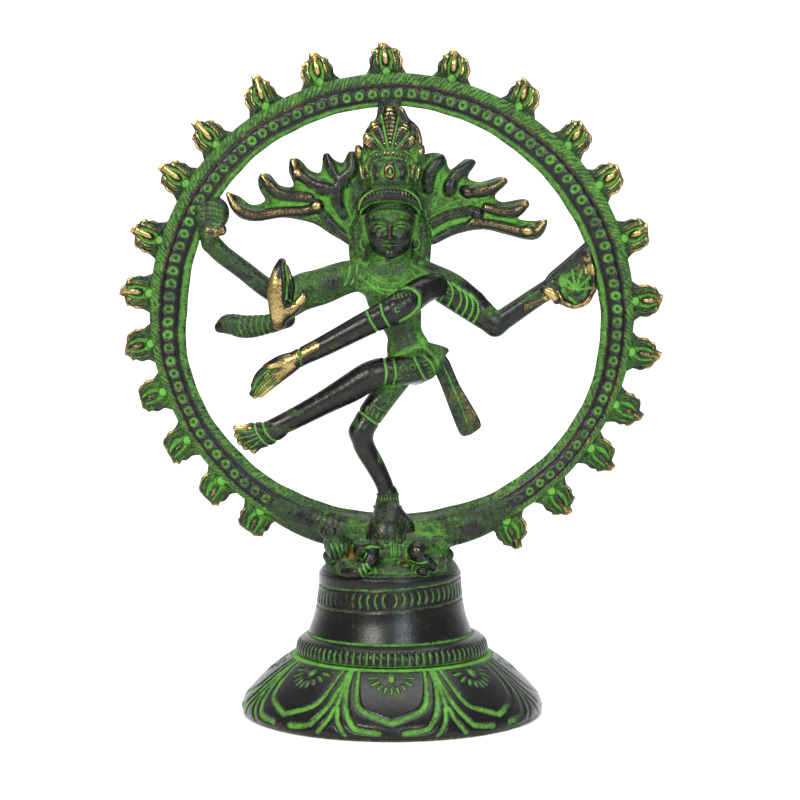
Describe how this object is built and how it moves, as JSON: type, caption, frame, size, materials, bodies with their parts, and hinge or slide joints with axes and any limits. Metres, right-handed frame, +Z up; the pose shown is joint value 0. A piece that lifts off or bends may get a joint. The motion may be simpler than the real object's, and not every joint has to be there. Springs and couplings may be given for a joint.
{
  "type": "nataraja statue",
  "caption": "Cast brass dancing figure with four arms in a ring of flames, standing on a dwarf over a bell pedestal and a round lotus foot.",
  "frame": {"origin": "centre of the round foot, on the surface that the statue stands on", "axes": "+Z up through the top flame, the figure faces -Y, and the figure's left side is +X, so the ring stands in the XZ plane"},
  "size_m": [0.1627, 0.0908, 0.2],
  "materials": {
    "lotus_base": "dark glossy patina over cast brass",
    "knurled_collar": "dark glossy patina over cast brass",
    "bell_pedestal": "dark glossy patina over cast brass",
    "mound": "mottled green and dark patina over cast brass",
    "flame_ring": "green pigment over cast brass, matt in the recesses",
    "flame_01": "green pigment over cast brass, matt in the recesses",
    "flame_02": "green pigment over cast brass, matt in the recesses",
    "flame_03": "green pigment over cast brass, matt in the recesses",
    "flame_04": "green pigment over cast brass, matt in the recesses",
    "flame_05": "green pigment over cast brass, matt in the recesses",
    "flame_06": "green pigment over cast brass, matt in the recesses",
    "flame_07": "green pigment over cast brass, matt in the recesses",
    "flame_08": "green pigment over cast brass, matt in the recesses",
    "flame_09": "green pigment over cast brass, matt in the recesses",
    "flame_10": "green pigment over cast brass, matt in the recesses",
    "flame_11": "green pigment over cast brass, matt in the recesses",
    "flame_12": "green pigment over cast brass, matt in the recesses",
    "flame_13": "green pigment over cast brass, matt in the recesses",
    "flame_14": "green pigment over cast brass, matt in the recesses",
    "flame_15": "green pigment over cast brass, matt in the recesses",
    "flame_16": "green pigment over cast brass, matt in the recesses",
    "flame_17": "green pigment over cast brass, matt in the recesses",
    "flame_18": "green pigment over cast brass, matt in the recesses",
    "flame_19": "green pigment over cast brass, matt in the recesses",
    "flame_20": "green pigment over cast brass, matt in the recesses",
    "flame_21": "green pigment over cast brass, matt in the recesses",
    "flame_22": "green pigment over cast brass, matt in the recesses",
    "flame_23": "green pigment over cast brass, matt in the recesses",
    "torso": "green pigment over cast brass, matt in the recesses",
    "loincloth": "mottled green and dark patina over cast brass",
    "head": "dark glossy patina over cast brass",
    "diadem": "dark glossy patina over cast brass",
    "crown_cap": "green pigment over cast brass, matt in the recesses",
    "crown_feathers": "green pigment over cast brass, matt in the recesses",
    "crown_tenon": "mottled green and dark patina over cast brass",
    "right_side_hair": "green pigment over cast brass, matt in the recesses",
    "left_side_hair": "green pigment over cast brass, matt in the recesses",
    "right_hair_fan": "green pigment over cast brass, matt in the recesses",
    "left_hair_fan": "green pigment over cast brass, matt in the recesses",
    "front_left_arm": "dark glossy patina over cast brass",
    "front_left_hand": "cast brass with the patina rubbed off",
    "flame_in_hand": "cast brass with the patina rubbed off",
    "rear_left_arm": "dark glossy patina over cast brass",
    "blessing_hand": "cast brass with the patina rubbed off",
    "front_right_arm": "green pigment over cast brass, matt in the recesses",
    "rear_right_arm": "mottled green and dark patina over cast brass",
    "drum_hand": "cast brass with the patina rubbed off",
    "snake": "green pigment over cast brass, matt in the recesses",
    "raised_leg": "dark glossy patina over cast brass",
    "raised_foot": "green pigment over cast brass, matt in the recesses",
    "standing_leg": "dark glossy patina over cast brass",
    "anklet": "green pigment over cast brass, matt in the recesses",
    "standing_foot": "dark glossy patina over cast brass",
    "sash_knot": "green pigment over cast brass, matt in the recesses",
    "sash": "mottled green and dark patina over cast brass",
    "dwarf_trunk": "mottled green and dark patina over cast brass",
    "dwarf_head": "mottled green and dark patina over cast brass",
    "dwarf_arm": "dark glossy patina over cast brass",
    "dwarf_leg": "dark glossy patina over cast brass"
  },
  "bodies": {
    "root": {"lotus_base": "lotus_base", "knurled_collar": "knurled_collar", "bell_pedestal": "bell_pedestal", "mound": "mound", "flame_ring": "flame_ring", "flame_01": "flame_01", "flame_02": "flame_02", "flame_03": "flame_03", "flame_04": "flame_04", "flame_05": "flame_05", "flame_06": "flame_06", "flame_07": "flame_07", "flame_08": "flame_08", "flame_09": "flame_09", "flame_10": "flame_10", "flame_11": "flame_11", "flame_12": "flame_12", "flame_13": "flame_13", "flame_14": "flame_14", "flame_15": "flame_15", "flame_16": "flame_16", "flame_17": "flame_17", "flame_18": "flame_18", "flame_19": "flame_19", "flame_20": "flame_20", "flame_21": "flame_21", "flame_22": "flame_22", "flame_23": "flame_23", "torso": "torso", "loincloth": "loincloth", "head": "head", "diadem": "diadem", "crown_cap": "crown_cap", "crown_feathers": "crown_feathers", "crown_tenon": "crown_tenon", "right_side_hair": "right_side_hair", "left_side_hair": "left_side_hair", "right_hair_fan": "right_hair_fan", "left_hair_fan": "left_hair_fan", "front_left_arm": "front_left_arm", "front_left_hand": "front_left_hand", "flame_in_hand": "flame_in_hand", "rear_left_arm": "rear_left_arm", "blessing_hand": "blessing_hand", "front_right_arm": "front_right_arm", "rear_right_arm": "rear_right_arm", "drum_hand": "drum_hand", "snake": "snake", "raised_leg": "raised_leg", "raised_foot": "raised_foot", "standing_leg": "standing_leg", "anklet": "anklet", "standing_foot": "standing_foot", "sash_knot": "sash_knot", "sash": "sash", "dwarf_trunk": "dwarf_trunk", "dwarf_head": "dwarf_head", "dwarf_arm": "dwarf_arm", "dwarf_leg": "dwarf_leg"}
  },
  "joints": []
}
